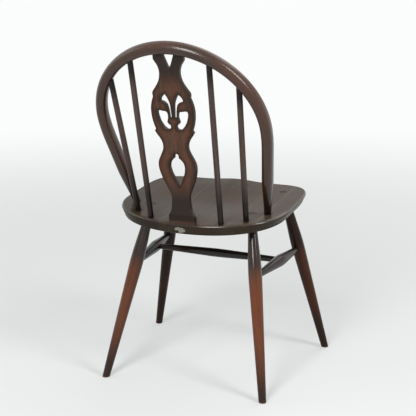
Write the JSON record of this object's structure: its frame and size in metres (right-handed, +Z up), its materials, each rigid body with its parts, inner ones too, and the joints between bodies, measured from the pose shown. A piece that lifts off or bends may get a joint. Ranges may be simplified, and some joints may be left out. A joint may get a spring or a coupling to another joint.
{
  "type": "hoop-back side chair",
  "caption": "Wooden side chair with a hoop back, round spindles, a pierced thistle splat, a saddled seat, splayed turned legs and turned stretchers between them.",
  "frame": {"origin": "on the floor, at the middle of the chair's width and depth: the bottom centre of the bounding box", "axes": "+Z up, -Y the way the sitter faces, +X towards the sitter's left"},
  "size_m": [0.5212, 0.5131, 0.8663],
  "materials": {
    "seat_wood": "satin",
    "back_wood": "satin",
    "leg_wood": "satin",
    "wedge_wood": "satin"
  },
  "bodies": {
    "root": {"seat_board_left": "seat_wood", "seat_board_middle": "seat_wood", "seat_board_right": "seat_wood", "bow": "back_wood", "splat": "back_wood", "spindle_left_outer": "back_wood", "spindle_left_inner": "back_wood", "spindle_right_inner": "back_wood", "spindle_right_outer": "back_wood", "leg_rear_left": "leg_wood", "leg_rear_right": "leg_wood", "leg_front_left": "leg_wood", "leg_front_right": "leg_wood", "side_stretcher_left": "leg_wood", "side_stretcher_right": "leg_wood", "cross_stretcher": "leg_wood", "leg_wedge_rear_left": "wedge_wood", "leg_wedge_rear_right": "wedge_wood", "leg_wedge_front_left": "wedge_wood", "leg_wedge_front_right": "wedge_wood", "bow_wedge_left": "wedge_wood", "bow_wedge_right": "wedge_wood"}
  },
  "joints": []
}
